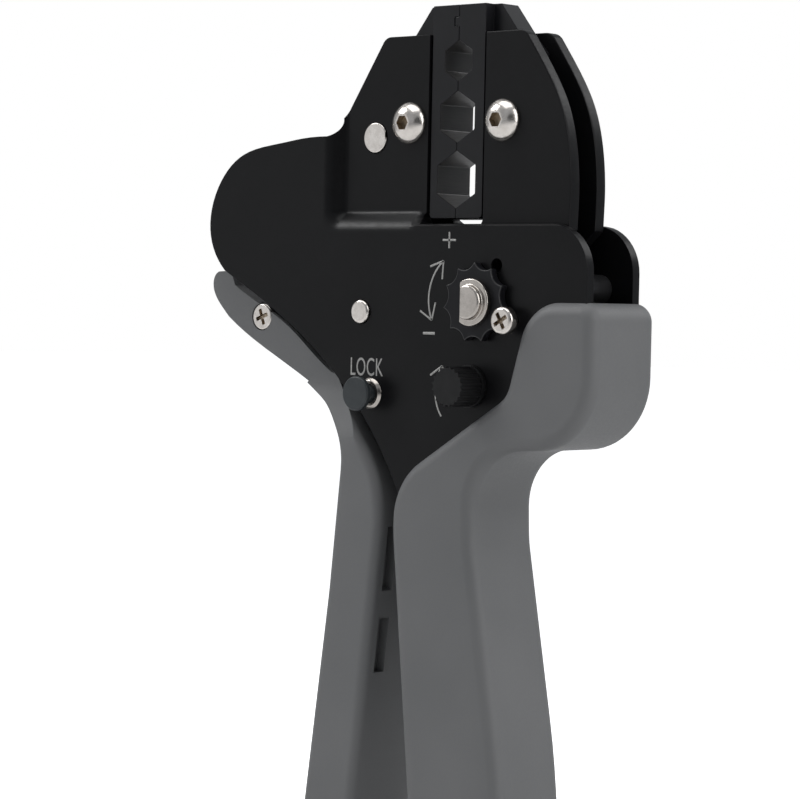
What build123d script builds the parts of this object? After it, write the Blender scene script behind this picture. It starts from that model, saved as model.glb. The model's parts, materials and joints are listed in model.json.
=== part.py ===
from build123d import *
import math
import os

# Coaxial crimping tool, modelled closed and upright with the jaws at the top.
# X runs right across the front view, Y runs from front to back, Z runs up.
# The origin is the centre of the middle crimp cavity, on the tool's mid-plane.

# Sheet stack, given as half distances from the mid-plane
frame_plate_thickness = 2.0
frame_inner_half = 5.65
frame_outer_half = frame_inner_half + frame_plate_thickness
joggle_depth = 2.6
joggle_run = 1.5
joggle_wall = 1.1
fixed_jaw_inner_half = frame_inner_half - joggle_depth
fixed_jaw_outer_half = frame_outer_half - joggle_depth
jaw_plate_thickness = 2.6
jaw_plate_inner_half = 2.45
jaw_plate_outer_half = jaw_plate_inner_half + jaw_plate_thickness
lever_plate_thickness = 1.8
lever_inner_half = 2.3
lever_outer_half = lever_inner_half + lever_plate_thickness
link_half = 2.05
ratchet_half = 1.6

# Running and seating clearances
running_clearance = 0.05
seat_clearance = 0.1
body_clearance = 0.3

# Pivots and axes, as X and Z
jaw_pivot = (9.0, -34.3)
handle_pivot = (-20.5, -36.5)
link_handle_pin = (-22.0, -43.0)
link_jaw_pin = (2.1, -45.3)
knob_axis = (7.2, -49.7)
lock_axis = (-17.8, -51.9)
wheel_screw_axis = (17.1, -37.5)
stop_pin_axis = (26.5, -31.5)
grip_screw_axis = (-49.4, -38.0)
tang_rivet_axes = [(0.8, -92.0), (3.2, -132.0)]

# Dies
die_top = 20.7
die_bottom = -18.8
die_boss_half_width = 6.4
die_boss_half = 4.7
die_wing_reach = 15.8
die_shoulder_x = 8.2
die_shoulder_drop = 6.0
die_wing_bottom = -14.0
die_screw_x = 11.4
die_screw_z = -0.95
fixed_wing_half = fixed_jaw_inner_half - running_clearance
moving_wing_half = jaw_plate_inner_half - running_clearance
cavity_sizes = [6.48, 8.23, 9.14]
cavity_heights = [10.4, 0.0, -11.6]
key_depth = 1.1
key_height = 1.7
key_z = 17.6
key_clearance = 0.05
die_corner_radius = 0.8

# Jaw plates
jaw_top = 15.4
jaw_edge_x = 6.8
moving_jaw_edge_x = 6.9
jaw_plate_right_x = 27.6
jaw_hub_radius = 7.6
jaw_journal_radius = 4.3
jaw_tail_radius = 3.6

# Frame outline
frame_top = -19.9
frame_right_x = 33.8
frame_corner_radius = 8.7
frame_block_bottom = -55.0
frame_block_corner = 8.0
frame_tip = (-11.0, -68.9)
joggle_left_x = -28.3
joggle_bottom_z = -20.3
relief_radius = 1.0
tang_bottom_z = -150.0

# Handle grips
grip_bottom_z = -206.0
fixed_grip_half = 9.5
moving_grip_half = 9.0
arm_half = 5.2
arm_end_z = -48.0
body_start_z = -61.0
fixed_grip_edge_radius = 2.6
moving_grip_edge_radius = 2.0
fixed_grip_top = -33.9
fixed_grip_right_x = 36.7
blend_radius = 12.0

# Pins, screws and controls
die_screw_radius = 2.0
die_screw_head_radius = 3.9
die_screw_head_height = 2.3
die_screw_socket = 2.5
spacer_rivet_radius = 2.85
spacer_rivet_shoulder = 3.8
spacer_rivet = (-die_wing_reach - spacer_rivet_shoulder - 0.4, -3.5)
handle_pin_radius = 3.2
handle_pin_end_radius = 2.25
link_pin_radius = 1.8
link_eye_radius = 3.0
link_half_width = 1.9
stop_pin_radius = 2.7
tang_rivet_radius = 2.0
tang_spacer_radius = 3.0
wheel_tip_radius = 7.4
wheel_root_radius = 6.25
wheel_teeth = 11
wheel_tip_land = 0.94
wheel_thickness = 1.7
wheel_standoff = 0.15
pin_flange_radius = 4.35
pin_flange_height = 1.2
pin_end_radius = 3.2
pin_end_height = 1.1
pin_flat_offset = -2.4
pin_end_flat_offset = -1.4
wheel_screw_head_radius = 2.55
wheel_screw_head_height = 1.9
wheel_screw_radius = 1.15
knob_radius = 3.7
knob_flange_radius = 3.9
knob_flange_height = 1.0
knob_height = 6.6
knob_flutes = 20
knob_flute_radius = 0.5
knob_shaft_radius = 1.6
lock_collar_radius = 2.95
lock_collar_bore = 1.7
lock_collar_height = 0.6
lock_stem_radius = 1.6
lock_head_radius = 3.25
lock_head_height = 1.3
lock_stand = 4.3
lock_tip_half = lever_outer_half + body_clearance
lock_lug_x = -15.2
lock_lug_width = 1.7
lock_lug_top_z = -49.2
lock_shelf_z = -54.6
lock_shelf_height = 2.8
ratchet_tooth_radius = 24.5
ratchet_outer_radius = 28.6
ratchet_teeth = 7
ratchet_pitch_angle = 3.0
ratchet_tooth_height = 1.0
ratchet_start_angle = -50.0
pawl_tip_angle = -74.0
pawl_elbow = (2.0, -51.8)
pawl_elbow_radius = 1.3
pawl_knee = (-5.5, -51.5)
pawl_knee_radius = 1.2
return_spring_wire = 0.9
return_spring_turns = 3.25
return_leg_right_x = 24.3
return_leg_bottom_z = -41.6
grip_screw_head_radius = 2.6
grip_screw_head_height = 0.9
slot_inner_half = 3.4
slot_outer_half = 6.2
pawl_spring_wire = 0.6
pawl_spring_turns = 4

die_parting_gap = 0.05
pin_shank_radius = 4.0
pin_neck_radius = 3.9
stop_pin_end_radius = 1.6
stop_pin_seat_depth = 1.2
open_pivot_clearance = 0.35
clip_groove_stand = 1.6
clip_offset = 0.1
clip_thickness = 0.8
clip_radius = 5.6
clip_bore_radius = 3.3
clip_mouth = 4.4
cross_slot_length = 3.2
cross_slot_width = 0.75
cross_slot_depth = 1.0
pawl_hub_radius = 2.6
pawl_tip_radius = 0.7
sector_tab_radius = 2.3
arm_top = [(-58.2, -29.0), (-61.6, -29.2)]
small_screw_radius = 1.3
sector_root_angle = -94.0
lever_knee = (-24.0, -55.0)
lever_middle = (-20.0, -80.0)
lever_end = (-25.4, -134.0)
sector_rivet_angles = [-91.5, -90.4]
sector_tab_length = 4.4

os.makedirs("parts", exist_ok=True)


def front_plane(half):
    """Front view sketch plane, at this distance in front of the mid-plane"""
    return Plane.XZ.offset(half)


def toward(start, reach, degrees):
    """Point at a distance and angle from another, in the front view"""
    angle = math.radians(degrees)
    return (start[0] + reach * math.cos(angle), start[1] + reach * math.sin(angle))


# Ratchet rivets and the lever's neck sit on the middle of the sector ring
ratchet_ring_radius = (ratchet_tooth_radius + ratchet_outer_radius) / 2
sector_rivet_axes = [toward(handle_pivot, ratchet_ring_radius, sector_rivet_angles[0]),
                     toward(handle_pivot, ratchet_outer_radius + sector_tab_length, sector_rivet_angles[1])]
lever_neck = toward(handle_pivot, ratchet_ring_radius - 1.0, sector_rivet_angles[0])


def stadium(start, end, radius):
    """Bar with round ends between two points, added to the open sketch"""
    length = math.dist(start, end)
    middle = ((start[0] + end[0]) / 2, (start[1] + end[1]) / 2)
    turn = math.degrees(math.atan2(end[1] - start[1], end[0] - start[0]))
    with Locations(Location((middle[0], middle[1], 0), (0, 0, turn))):
        SlotCenterToCenter(length, 2 * radius)


def taper_bar(start, start_radius, end, end_radius):
    """Bar with a large and a small round end, added to the open sketch"""
    length = math.dist(start, end)
    turn = math.atan2(end[1] - start[1], end[0] - start[0])
    lean = math.acos((start_radius - end_radius) / length)
    sides = [turn + lean, turn - lean]
    corners = [toward(start, start_radius, math.degrees(sides[0])),
               toward(end, end_radius, math.degrees(sides[0])),
               toward(end, end_radius, math.degrees(sides[1])),
               toward(start, start_radius, math.degrees(sides[1]))]
    Polygon(*corners, align=None)
    with Locations(start):
        Circle(start_radius)
    with Locations(end):
        Circle(end_radius)


def rounded_outline(corners):
    """Closed outline of straight sides, as a sketch, with a radius at each corner"""
    with BuildSketch() as outline:
        Polygon(*[corner[:2] for corner in corners], align=None)
        for x, z, radius in corners:
            if radius:
                fillet(outline.vertices().sort_by_distance((x, z))[0], radius=radius)
    return outline.sketch


def coil(radius, wire, turns, axis, middle_half, start_angle=0):
    """Round wire coil about a Y axis, centred at a distance in front of the mid-plane"""
    pitch = wire * 1.12
    height = pitch * turns
    with BuildPart() as spring:
        with BuildLine() as path:
            Helix(pitch, height, radius)
        with BuildSketch(Plane(path.line @ 0, z_dir=path.line % 0)):
            Circle(wire / 2)
        sweep()
    place = Location((axis[0], -middle_half + height / 2, axis[1]), (90, 0, 0))
    return spring.part.rotate(Axis.Z, start_angle).moved(place)


# Frame plates

def frame_edge_points():
    """Lower left edge of the frame plates, which the moving handle lies along"""
    return [(-57.6, -29.0), (-48.1, -34.0), (-36.5, -41.0), (-26.2, -49.2), frame_tip]


def frame_outline(grow=0.0):
    """Front view outline of a frame plate with its joggled jaw, ear and tang"""
    top_corner = (frame_right_x - frame_corner_radius, frame_top)
    side_corner = (frame_right_x, frame_top - frame_corner_radius)
    tang = [(frame_right_x, frame_block_bottom + frame_block_corner),
            (frame_right_x - frame_block_corner, frame_block_bottom), (12.0, frame_block_bottom),
            (5.2, -74.0), (7.6, tang_bottom_z), (0.8, tang_bottom_z), (-5.2, -80.0), frame_tip]
    with BuildSketch() as outline:
        with BuildLine():
            Line((-4.6, frame_top), top_corner)
            TangentArc(top_corner, side_corner, tangent=(1, 0))
            Polyline(side_corner, *tang)
            Spline(*frame_edge_points()[::-1])
            Spline((-57.6, -29.0), (-61.6, -17.0), (-54.4, -7.0), (-42.9, -4.2), (-36.0, -3.3), (-30.6, -3.1))
            ThreePointArc((-30.6, -3.1), (-28.8, -2.2), (-27.9, 0.4))
            Line((-27.9, 0.4), (-18.7, 14.2))
            ThreePointArc((-18.7, 14.2), (-17.9, 15.05), (-16.7, jaw_top))
            Line((-16.7, jaw_top), (-jaw_edge_x, jaw_top))
            Line((-jaw_edge_x, jaw_top), (-jaw_edge_x, frame_top))
            Line((-jaw_edge_x, frame_top), (-4.6, frame_top))
        make_face()
        with Locations((-jaw_edge_x + 0.4, frame_top + 1.2)):
            Circle(relief_radius, mode=Mode.SUBTRACT)
        if grow:
            offset(amount=grow)
    return outline.sketch


joggle_angle = math.degrees(math.atan(joggle_run / joggle_depth))

# Pad of the fixed jaw, pressed inwards from the frame plate with sloped sides
with BuildPart() as jaw_pad:
    with BuildSketch(front_plane(fixed_jaw_inner_half)):
        with Locations((joggle_left_x + 40, joggle_bottom_z + 40)):
            Rectangle(80 - 2 * (joggle_run - joggle_wall), 80 - 2 * (joggle_run - joggle_wall))
    extrude(amount=joggle_depth, taper=-joggle_angle)
    with BuildSketch(front_plane(fixed_jaw_inner_half)):
        add(frame_outline())
    extrude(amount=joggle_depth, mode=Mode.INTERSECT)
    with BuildSketch(front_plane(fixed_jaw_inner_half)):
        with Locations((frame_right_x / 2 - 4.6, frame_top - 20)):
            Rectangle(frame_right_x + 2, 40)
    extrude(amount=joggle_depth, mode=Mode.SUBTRACT)

# Plate blank shared by both frame plates, with the holes that go through both
with BuildPart() as frame_blank:
    with BuildSketch(front_plane(frame_inner_half)):
        add(frame_outline())
    extrude(amount=frame_plate_thickness)
    add(jaw_pad.part)
    with BuildSketch(front_plane(frame_outer_half)):
        with Locations((joggle_left_x + 40, joggle_bottom_z + 40)):
            Rectangle(80, 80)
    extrude(amount=-joggle_depth, taper=joggle_angle, mode=Mode.SUBTRACT)
    with BuildSketch(front_plane(frame_outer_half)):
        with Locations(spacer_rivet):
            Circle(spacer_rivet_radius + seat_clearance)
        with Locations(handle_pivot):
            Circle(handle_pin_end_radius + seat_clearance)
        with Locations(jaw_pivot):
            Circle(pin_shank_radius + running_clearance)
        with Locations(*tang_rivet_axes):
            Circle(tang_rivet_radius + seat_clearance)
    extrude(amount=-3 * joggle_depth, mode=Mode.SUBTRACT)

    with BuildSketch(front_plane(frame_inner_half)):
        with Locations(stop_pin_axis):
            Circle(stop_pin_end_radius + seat_clearance)
    extrude(amount=stop_pin_seat_depth, mode=Mode.SUBTRACT)

with BuildPart() as frame_plate_front:
    add(frame_blank.part)
    with BuildSketch(front_plane(frame_outer_half)):
        with Locations((-die_screw_x, die_screw_z)):
            Circle(die_screw_radius + seat_clearance)
        with Locations(wheel_screw_axis):
            Circle(wheel_screw_radius + running_clearance)
        with Locations(knob_axis):
            Circle(knob_shaft_radius + running_clearance)
        with Locations(lock_axis):
            Circle(lock_stem_radius + running_clearance)
    extrude(amount=-3 * joggle_depth, mode=Mode.SUBTRACT)
frame_plate_front.part.label = "frame_plate_front"
export_step(frame_plate_front.part, "parts/frame_plate_front.step")

with BuildPart() as frame_plate_rear:
    add(mirror(frame_blank.part, about=Plane.XZ))
    with BuildSketch(front_plane(-fixed_jaw_inner_half + 1)):
        with Locations((-die_screw_x, die_screw_z)):
            Circle(die_screw_radius + running_clearance)
        with Locations(knob_axis):
            Circle(knob_shaft_radius + running_clearance)
    extrude(amount=-3 * joggle_depth, mode=Mode.SUBTRACT)
frame_plate_rear.part.label = "frame_plate_rear"
export_step(frame_plate_rear.part, "parts/frame_plate_rear.step")

# Shoulder pins that hold the two frame plates apart


def shoulder_pin(axis, end_radius, shoulder_radius, shoulder_half, end_half, dome):
    """Turned pin with a thick middle and thin ends, each with a low dome"""
    with BuildPart() as pin:
        with BuildSketch(front_plane(-shoulder_half)):
            with Locations(axis):
                Circle(shoulder_radius)
        extrude(amount=2 * shoulder_half)
        with BuildSketch(front_plane(-end_half)):
            with Locations(axis):
                Circle(end_radius)
        extrude(amount=2 * end_half)
        ends = pin.edges().filter_by(GeomType.CIRCLE).group_by(Axis.Y)
        fillet(ends[0] + ends[-1], radius=dome)
    return pin.part


handle_pivot_pin = shoulder_pin(handle_pivot, handle_pin_end_radius, handle_pin_radius,
                                frame_inner_half - running_clearance, frame_outer_half + 0.7, 0.55)
handle_pivot_pin.label = "handle_pivot_pin"
export_step(handle_pivot_pin, "parts/handle_pivot_pin.step")
jaw_spacer_rivet = shoulder_pin(spacer_rivet, spacer_rivet_radius, spacer_rivet_shoulder,
                                fixed_jaw_inner_half - running_clearance, fixed_jaw_outer_half + 0.35, 0.25)
jaw_spacer_rivet.label = "jaw_spacer_rivet"
export_step(jaw_spacer_rivet, "parts/jaw_spacer_rivet.step")
opening_stop_pin = shoulder_pin(stop_pin_axis, stop_pin_end_radius, stop_pin_radius,
                                frame_inner_half - running_clearance,
                                frame_inner_half + stop_pin_seat_depth - running_clearance, 0.2)
opening_stop_pin.label = "opening_stop_pin"
export_step(opening_stop_pin, "parts/opening_stop_pin.step")
with BuildPart() as tang_rivets:
    for axis in tang_rivet_axes:
        add(shoulder_pin(axis, tang_rivet_radius, tang_spacer_radius,
                         frame_inner_half - running_clearance, frame_outer_half - 0.05, 0.2))
tang_rivets.part.label = "tang_rivets"
export_step(tang_rivets.part, "parts/tang_rivets.step")

# Dies


def hexagon(size, height):
    """Crimp cavity with corners at the top and bottom on the parting line"""
    with Locations((0, height)):
        RegularPolygon(size / math.sqrt(3), 6, rotation=90)


def die_profile(side, edge_x):
    """Front view of one die half, on the left for -1 and the right for 1"""
    Polygon((0, die_bottom), (side * edge_x, die_bottom), (side * edge_x, die_wing_bottom - 2),
            (side * die_wing_reach, die_wing_bottom), (side * die_wing_reach, die_top - 9),
            (side * (die_shoulder_x + die_shoulder_drop * 0.8), die_top - die_shoulder_drop),
            (side * die_shoulder_x, die_top), (0, die_top), align=None)


def make_die(side, wing_half, key_gap):
    """Die half with a thick boss at the cavities and a thin wing for its jaw"""
    with BuildPart() as die:
        with BuildSketch(front_plane(-wing_half)):
            die_profile(side, die_boss_half_width)
        extrude(amount=2 * wing_half)
        with BuildSketch(front_plane(-die_boss_half)):
            with Locations((side * die_boss_half_width / 2, (die_top + die_bottom) / 2)):
                Rectangle(die_boss_half_width, die_top - die_bottom)
        extrude(amount=2 * die_boss_half)
        foot_corner = (side * die_boss_half_width, 0, die_bottom)
        fillet(die.edges().filter_by(Axis.Y).sort_by_distance(foot_corner)[0], radius=die_corner_radius)
        with BuildSketch(front_plane(-die_boss_half)):
            for size, height in zip(cavity_sizes, cavity_heights):
                hexagon(size, height)
            with Locations((side * die_screw_x, die_screw_z)):
                Circle(die_screw_radius + seat_clearance)
            if side < 0:
                with Locations((-key_depth / 2, key_z)):
                    Rectangle(key_depth + 2 * key_gap, key_height + 2 * key_gap)
        extrude(amount=2 * die_boss_half, mode=Mode.SUBTRACT)
        if side > 0:
            with BuildSketch(front_plane(-die_boss_half)):
                with Locations((-key_depth / 2 + key_gap, key_z)):
                    Rectangle(key_depth, key_height)
            extrude(amount=2 * die_boss_half)
    return die.part


fixed_die = make_die(-1, fixed_wing_half, key_clearance)
moving_die = make_die(1, moving_wing_half, key_clearance).moved(Location((die_parting_gap, 0, 0)))
fixed_die.label = "fixed_die"
export_step(fixed_die, "parts/fixed_die.step")
moving_die.label = "moving_die"
export_step(moving_die, "parts/moving_die.step")


def die_screw(x, plate_outer_half):
    """Button head screw with a hex socket, through both plates of one jaw"""
    with BuildPart() as screw:
        with BuildSketch(Plane.XY):
            with BuildLine():
                Line((0, 0), (die_screw_head_radius, 0))
                Line((die_screw_head_radius, 0), (die_screw_head_radius, 0.35))
                ThreePointArc((die_screw_head_radius, 0.35), (2.9, 1.65), (1.4, die_screw_head_height))
                Line((1.4, die_screw_head_height), (0, die_screw_head_height))
                Line((0, die_screw_head_height), (0, 0))
            make_face()
        revolve(axis=Axis.Y)
        with BuildSketch(Plane.XZ.offset(-die_screw_head_height)):
            RegularPolygon(die_screw_socket / math.sqrt(3), 6)
        extrude(amount=1.5, mode=Mode.SUBTRACT)
        with BuildSketch(Plane.XZ):
            Circle(die_screw_radius)
        extrude(amount=2 * plate_outer_half)
    return screw.part.rotate(Axis.Z, 180).moved(Location((x, -plate_outer_half, die_screw_z)))


die_screw_fixed = die_screw(-die_screw_x, fixed_jaw_outer_half)
die_screw_moving = die_screw(die_screw_x, jaw_plate_outer_half)
die_screw_fixed.label = "die_screw_fixed"
export_step(die_screw_fixed, "parts/die_screw_fixed.step")
die_screw_moving.label = "die_screw_moving"
export_step(die_screw_moving, "parts/die_screw_moving.step")

# Moving jaw plates


def jaw_plate():
    """Front plate of the moving jaw, from its top down to the link pin"""
    with BuildPart() as plate:
        with BuildSketch(front_plane(jaw_plate_inner_half)):
            with BuildLine():
                Line((moving_jaw_edge_x, jaw_top), (14.9, jaw_top))
                ThreePointArc((14.9, jaw_top), (16.2, 15.0), (17.1, 14.1))
                Spline((17.1, 14.1), (21.3, 8.1), (24.9, 1.6), (26.9, -5.6), (jaw_plate_right_x, -15.0))
                Line((jaw_plate_right_x, -15.0), (jaw_plate_right_x - 0.2, -21.0))
                Line((jaw_plate_right_x - 0.2, -21.0), (jaw_pivot[0] + 7.0, -31.3))
                Line((jaw_pivot[0] + 7.0, -31.3), (jaw_pivot[0], jaw_pivot[1]))
                Line((jaw_pivot[0], jaw_pivot[1]), (jaw_pivot[0] - 6.9, -31.1))
                Line((jaw_pivot[0] - 6.9, -31.1), (moving_jaw_edge_x - 1.5, -22.0))
                Line((moving_jaw_edge_x - 1.5, -22.0), (moving_jaw_edge_x, -19.0))
                Line((moving_jaw_edge_x, -19.0), (moving_jaw_edge_x, jaw_top))
            make_face()
            taper_bar(jaw_pivot, jaw_hub_radius, link_jaw_pin, jaw_tail_radius)
            with Locations(jaw_pivot):
                Circle(jaw_journal_radius + running_clearance, mode=Mode.SUBTRACT)
            with Locations(link_jaw_pin):
                Circle(link_pin_radius + running_clearance, mode=Mode.SUBTRACT)
            with Locations((die_screw_x, die_screw_z)):
                Circle(die_screw_radius + running_clearance, mode=Mode.SUBTRACT)
        extrude(amount=jaw_plate_thickness)
    return plate.part


jaw_plate_front = jaw_plate()
jaw_plate_rear = mirror(jaw_plate_front, about=Plane.XZ)
jaw_plate_front.label = "jaw_plate_front"
export_step(jaw_plate_front, "parts/jaw_plate_front.step")
jaw_plate_rear.label = "jaw_plate_rear"
export_step(jaw_plate_rear, "parts/jaw_plate_rear.step")

# Toggle link and its pins


def plain_pin(axis, radius, half):
    """Straight pin through the mid-plane with eased ends"""
    with BuildPart() as pin:
        with BuildSketch(front_plane(-half)):
            with Locations(axis):
                Circle(radius)
        extrude(amount=2 * half)
        chamfer(pin.edges().filter_by(GeomType.CIRCLE), length=0.25)
    return pin.part


with BuildPart() as toggle_link:
    with BuildSketch(front_plane(-link_half)):
        stadium(link_handle_pin, link_jaw_pin, link_half_width)
        with Locations(link_handle_pin, link_jaw_pin):
            Circle(link_eye_radius)
        with Locations(link_handle_pin):
            Circle(link_pin_radius + running_clearance, mode=Mode.SUBTRACT)
        with Locations(link_jaw_pin):
            Circle(link_pin_radius + open_pivot_clearance, mode=Mode.SUBTRACT)
    extrude(amount=2 * link_half)
toggle_link.part.label = "toggle_link"
export_step(toggle_link.part, "parts/toggle_link.step")
link_pin_handle = plain_pin(link_handle_pin, link_pin_radius, lever_outer_half + 0.6)
link_pin_jaw = plain_pin(link_jaw_pin, link_pin_radius, jaw_plate_outer_half)
link_pin_handle.label = "link_pin_handle"
export_step(link_pin_handle, "parts/link_pin_handle.step")
link_pin_jaw.label = "link_pin_jaw"
export_step(link_pin_jaw, "parts/link_pin_jaw.step")

# Adjusting wheel on the jaw pivot pin


def flat_side(radius, flat, axis):
    """Round with a flat on its left side, added to the open sketch"""
    with Locations(axis):
        Circle(radius)
    with Locations((axis[0] + flat - radius, axis[1])):
        Rectangle(2 * radius, 4 * radius, mode=Mode.SUBTRACT)


wheel_back_half = frame_outer_half + wheel_standoff
wheel_front_half = wheel_back_half + wheel_thickness
# Round notches meet nearly in a point at each tooth
with BuildPart() as adjusting_wheel:
    with BuildSketch(front_plane(wheel_back_half)):
        with Locations(jaw_pivot):
            Circle(wheel_tip_radius)
        half_pitch = 180 / wheel_teeth
        tip_reach = wheel_tip_radius * math.cos(math.radians(half_pitch))
        tip_spread = wheel_tip_radius ** 2 + wheel_root_radius ** 2 - 2 * wheel_root_radius * tip_reach
        notch = wheel_tip_land * tip_spread / (2 * (tip_reach - wheel_root_radius))
        notch_centre = wheel_root_radius + notch
        for tooth in range(wheel_teeth):
            with Locations(toward(jaw_pivot, notch_centre, 90 + half_pitch + tooth * 2 * half_pitch)):
                Circle(notch, mode=Mode.SUBTRACT)
    extrude(amount=wheel_thickness)
    with BuildSketch(front_plane(wheel_back_half)):
        flat_side(pin_neck_radius + seat_clearance, pin_flat_offset, jaw_pivot)
    extrude(amount=wheel_thickness, mode=Mode.SUBTRACT)
adjusting_wheel.part.label = "adjusting_wheel"
export_step(adjusting_wheel.part, "parts/adjusting_wheel.step")

with BuildPart() as jaw_pivot_pin:
    with BuildSketch(front_plane(-jaw_plate_outer_half)):
        with Locations(jaw_pivot):
            Circle(jaw_journal_radius)
    extrude(amount=2 * jaw_plate_outer_half)
    with BuildSketch(front_plane(-frame_outer_half - clip_groove_stand)):
        with Locations(jaw_pivot):
            Circle(pin_shank_radius)
    extrude(amount=2 * frame_outer_half + clip_groove_stand + running_clearance)
    with BuildSketch(front_plane(frame_outer_half)):
        flat_side(pin_neck_radius, pin_flat_offset, jaw_pivot)
    extrude(amount=wheel_front_half - frame_outer_half)
    with BuildSketch(front_plane(wheel_front_half)):
        flat_side(pin_flange_radius, pin_flat_offset, jaw_pivot)
    extrude(amount=pin_flange_height)
    with BuildSketch(front_plane(wheel_front_half + pin_flange_height)):
        flat_side(pin_end_radius, pin_end_flat_offset, jaw_pivot)
    extrude(amount=pin_end_height)
    rims = jaw_pivot_pin.edges().filter_by(GeomType.CIRCLE).group_by(Axis.Y)
    chamfer(rims[0], length=0.3)
    with BuildSketch(front_plane(-frame_outer_half - clip_offset - clip_thickness)):
        with Locations(jaw_pivot):
            Circle(pin_shank_radius + 1)
            Circle(clip_bore_radius, mode=Mode.SUBTRACT)
    extrude(amount=clip_thickness + running_clearance, mode=Mode.SUBTRACT)
jaw_pivot_pin.part.label = "jaw_pivot_pin"
export_step(jaw_pivot_pin.part, "parts/jaw_pivot_pin.step")

with BuildPart() as pivot_pin_clip:
    with BuildSketch(front_plane(-frame_outer_half - clip_offset - clip_thickness)):
        with Locations(jaw_pivot):
            Circle(clip_radius)
            Circle(clip_bore_radius + running_clearance, mode=Mode.SUBTRACT)
        with Locations((jaw_pivot[0], jaw_pivot[1] - clip_radius)):
            Rectangle(clip_mouth, 2 * clip_radius - 2, mode=Mode.SUBTRACT)
    extrude(amount=clip_thickness)
pivot_pin_clip.part.label = "pivot_pin_clip"
export_step(pivot_pin_clip.part, "parts/pivot_pin_clip.step")

with BuildPart() as wheel_lock_screw:
    head_back = wheel_front_half + running_clearance
    with BuildSketch(front_plane(frame_inner_half)):
        with Locations(wheel_screw_axis):
            Circle(wheel_screw_radius)
    extrude(amount=head_back - frame_inner_half)
    with BuildSketch(front_plane(head_back)):
        with Locations(wheel_screw_axis):
            Circle(wheel_screw_head_radius)
    extrude(amount=wheel_screw_head_height)
    front_rim = wheel_lock_screw.edges().filter_by(GeomType.CIRCLE).group_by(Axis.Y)[0]
    fillet(front_rim, radius=0.7)
    with BuildSketch(front_plane(head_back + wheel_screw_head_height)):
        with Locations(Location((wheel_screw_axis[0], wheel_screw_axis[1], 0), (0, 0, 30))):
            Rectangle(cross_slot_length, cross_slot_width)
            Rectangle(cross_slot_width, cross_slot_length)
    extrude(amount=-cross_slot_depth, mode=Mode.SUBTRACT)
wheel_lock_screw.part.label = "wheel_lock_screw"
export_step(wheel_lock_screw.part, "parts/wheel_lock_screw.step")

# Release knob, its shaft and the ratchet pawl

knob_back_half = frame_outer_half + running_clearance
with BuildPart() as release_knob:
    with BuildSketch(front_plane(knob_back_half)):
        with Locations(knob_axis):
            Circle(knob_flange_radius)
    extrude(amount=knob_flange_height)
    with BuildSketch(front_plane(knob_back_half + knob_flange_height)):
        with Locations(knob_axis):
            Circle(knob_radius)
        for flute in range(knob_flutes):
            with Locations(toward(knob_axis, knob_radius + 0.1, flute * 360 / knob_flutes)):
                Circle(knob_flute_radius, mode=Mode.SUBTRACT)
    extrude(amount=knob_height - knob_flange_height)
    with BuildSketch(front_plane(knob_back_half)):
        with Locations(knob_axis):
            Circle(knob_shaft_radius + running_clearance)
    extrude(amount=knob_height - 1.6, mode=Mode.SUBTRACT)
release_knob.part.label = "release_knob"
export_step(release_knob.part, "parts/release_knob.step")

with BuildPart() as knob_shaft:
    with BuildSketch(front_plane(-frame_outer_half + 0.05)):
        with Locations(knob_axis):
            Circle(knob_shaft_radius)
    extrude(amount=frame_outer_half - 0.05 + knob_back_half + knob_height - 1.7)
knob_shaft.part.label = "knob_shaft"
export_step(knob_shaft.part, "parts/knob_shaft.step")

pawl_tip = toward(handle_pivot, ratchet_tooth_radius - body_clearance - pawl_tip_radius, pawl_tip_angle)
with BuildPart() as ratchet_pawl:
    with BuildSketch(front_plane(-ratchet_half)):
        taper_bar(knob_axis, pawl_hub_radius, pawl_elbow, pawl_elbow_radius)
        taper_bar(pawl_elbow, pawl_elbow_radius, pawl_knee, pawl_knee_radius)
        taper_bar(pawl_knee, pawl_knee_radius, pawl_tip, pawl_tip_radius)
        with Locations(knob_axis):
            Circle(knob_shaft_radius + running_clearance, mode=Mode.SUBTRACT)
    extrude(amount=2 * ratchet_half)
ratchet_pawl.part.label = "ratchet_pawl"
export_step(ratchet_pawl.part, "parts/ratchet_pawl.step")

pawl_spring = coil(knob_shaft_radius + 0.2 + pawl_spring_wire / 2, pawl_spring_wire, pawl_spring_turns,
                   knob_axis, (ratchet_half + frame_inner_half) / 2)
pawl_spring.label = "pawl_spring"
export_step(pawl_spring, "parts/pawl_spring.step")

return_radius = jaw_journal_radius + 0.2 + return_spring_wire / 2
with BuildPart() as return_spring:
    add(coil(return_radius, return_spring_wire, return_spring_turns, jaw_pivot, 0, 90))
    leg_half = return_spring_turns * return_spring_wire * 1.12 / 2
    with BuildSketch(Plane.YZ.offset(jaw_pivot[0])):
        with Locations((leg_half, jaw_pivot[1] + return_radius)):
            Circle(return_spring_wire / 2)
    extrude(amount=return_leg_right_x - jaw_pivot[0])
    with BuildSketch(Plane.XY.offset(jaw_pivot[1])):
        with Locations((jaw_pivot[0] - return_radius, -leg_half)):
            Circle(return_spring_wire / 2)
    extrude(amount=return_leg_bottom_z - jaw_pivot[1])
return_spring.part.label = "return_spring"
export_step(return_spring.part, "parts/return_spring.step")

# Lock button and its collar

with BuildPart() as lock_collar:
    with BuildSketch(front_plane(frame_outer_half)):
        with Locations(lock_axis):
            Circle(lock_collar_radius)
            Circle(lock_collar_bore, mode=Mode.SUBTRACT)
    extrude(amount=lock_collar_height)
    chamfer(lock_collar.edges().filter_by(GeomType.CIRCLE).group_by(Axis.Y)[0], length=0.2)
lock_collar.part.label = "lock_collar"
export_step(lock_collar.part, "parts/lock_collar.step")

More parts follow.
